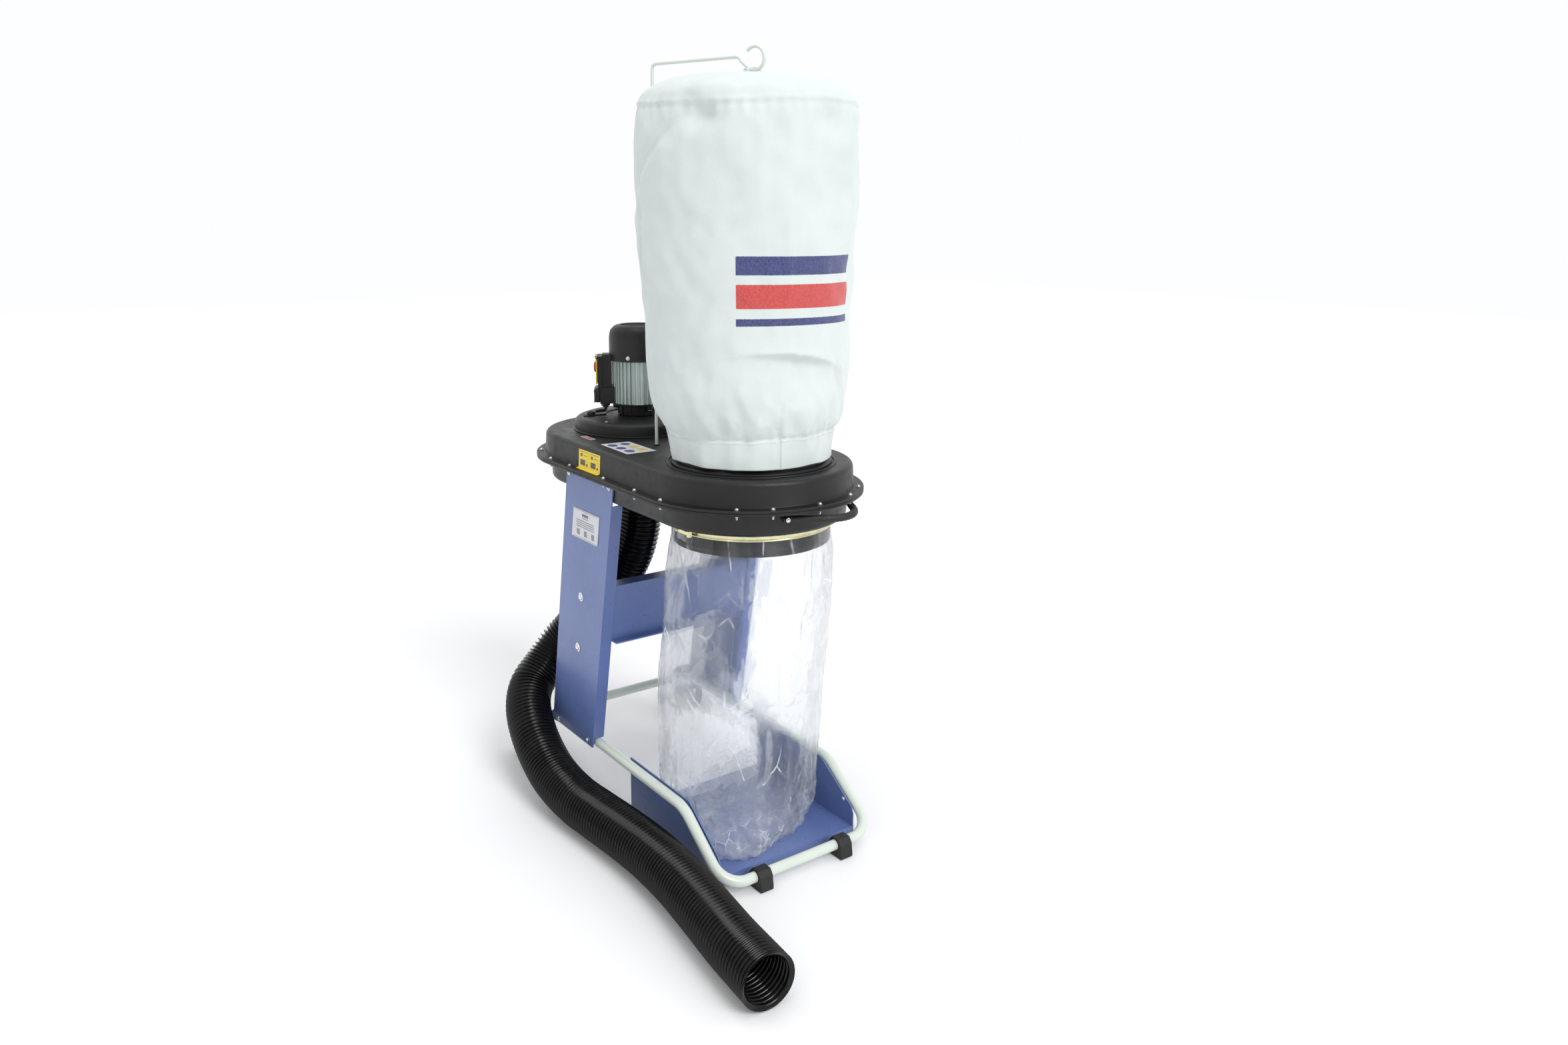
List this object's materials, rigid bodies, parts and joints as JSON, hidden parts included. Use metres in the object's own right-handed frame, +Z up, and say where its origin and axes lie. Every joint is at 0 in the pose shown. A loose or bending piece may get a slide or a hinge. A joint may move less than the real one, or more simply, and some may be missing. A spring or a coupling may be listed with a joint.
{
  "type": "dust collector",
  "caption": "Portable two-bag dust collector: flat housing with a vertical motor and fan, cloth filter bag above, clear dust bag below, ribbed suction hose and wheeled stand.",
  "frame": {"origin": "on the floor, under the middle of the machine measured without its free suction hose", "axes": "+X towards the bag end, +Y towards the back, away from the rating plate, +Z up"},
  "size_m": [1.04, 0.5286, 1.4336],
  "materials": {
    "black_plastic": "moulded, fine grain",
    "hose_plastic": "glossy, ribbed",
    "black_rubber": "soft satin",
    "zinc_steel": "bright zinc",
    "yellow_zinc": "yellow passivated",
    "filter_cloth": "white needle felt",
    "clear_film": "clear, glossy, creased",
    "aluminium": "satin",
    "steel_core": "bare",
    "copper_winding": "varnished copper",
    "green_plastic": "gloss",
    "red_plastic": "gloss",
    "yellow_plastic": "satin",
    "blue_paint": "fine-grained powder coat",
    "grey_paint": "smooth gloss"
  },
  "bodies": {
    "frame": {"upper_shell": "black_plastic", "lower_shell": "black_plastic", "fan_cover": "black_plastic", "fan_scroll": "steel_core", "filter_collar": "black_plastic", "dust_collar": "black_plastic", "inlet_spigot": "black_plastic", "carry_handle": "black_rubber", "handle_bolt_front": "zinc_steel", "handle_bolt_rear": "zinc_steel", "suction_hose": "hose_plastic", "hose_clamp": "zinc_steel", "filter_bag": "filter_cloth", "filter_bag_snap_band": "zinc_steel", "dust_bag": "clear_film", "dust_bag_clamp": "yellow_zinc", "lower_end_shield": "black_plastic", "stator_housing": "aluminium", "stator_core": "steel_core", "stator_windings": "copper_winding", "lower_bearing": "zinc_steel", "upper_bearing": "zinc_steel", "upper_end_shield": "aluminium", "fan_cowl": "black_plastic", "terminal_box": "black_plastic", "terminal_cover": "black_plastic", "run_capacitor": "aluminium", "switch_housing": "black_plastic", "switch_plate": "black_plastic", "flap_hinge_pin": "zinc_steel", "cable_gland": "black_plastic", "front_leg": "blue_paint", "rear_leg": "blue_paint", "cross_panel": "blue_paint", "base_tube": "grey_paint", "dust_tray": "blue_paint", "front_foot_clip": "black_rubber", "rear_foot_clip": "black_rubber", "hanger_rod": "grey_paint", "hanger_socket": "black_plastic", "filter_bag_bail": "grey_paint", "front_wheel_bracket": "blue_paint", "rear_wheel_bracket": "blue_paint", "front_wheel_bolt": "zinc_steel", "rear_wheel_bolt": "zinc_steel", "front_wheel_nut": "zinc_steel", "rear_wheel_nut": "zinc_steel", "rating_plate": "aluminium"},
    "rotor_assembly": {"motor_shaft": "zinc_steel", "rotor": "steel_core", "impeller": "aluminium", "impeller_nut": "zinc_steel", "cooling_fan": "black_plastic"},
    "front_wheel": {"front_wheel": "black_rubber"},
    "rear_wheel": {"rear_wheel": "black_rubber"},
    "flap": {"switch_flap": "yellow_plastic", "emergency_stop_knob": "red_plastic"},
    "start_button": {"start_button": "green_plastic"},
    "stop_button": {"stop_button": "red_plastic"},
    "bag_clamp_lever": {"dust_bag_clamp_lever": "yellow_zinc"}
  },
  "joints": [
    {"name": "rotor_spin", "type": "hinge", "parent": "frame", "child": "rotor_assembly", "pos_m": [-0.2063, 0, 0.75], "axis": [0, 0, 1], "continuous": true},
    {"name": "front_wheel_spin", "type": "hinge", "parent": "frame", "child": "front_wheel", "pos_m": [-0.3513, -0.2, 0.052], "axis": [0, 1, 0], "continuous": true},
    {"name": "rear_wheel_spin", "type": "hinge", "parent": "frame", "child": "rear_wheel", "pos_m": [-0.3513, 0.2, 0.052], "axis": [0, 1, 0], "continuous": true},
    {"name": "flap_hinge", "type": "hinge", "parent": "frame", "child": "flap", "pos_m": [-0.24785, -0.07197, 0.864], "axis": [-0.866, 0.5, 0], "range_deg": [0, 100]},
    {"name": "start_press", "type": "slide", "parent": "frame", "child": "start_button", "axis": [0.5, 0.866, 0], "range_m": [0, 0.003], "stiffness_N_per_m": 300, "springref_m": -0.002},
    {"name": "stop_press", "type": "slide", "parent": "frame", "child": "stop_button", "axis": [0.5, 0.866, 0], "range_m": [0, 0.003], "stiffness_N_per_m": 300, "springref_m": -0.002},
    {"name": "clamp_lever_hinge", "type": "hinge", "parent": "frame", "child": "bag_clamp_lever", "pos_m": [0.1951, -0.1533, 0.6115], "axis": [0, 0, -1], "range_deg": [0, 110]}
  ]
}
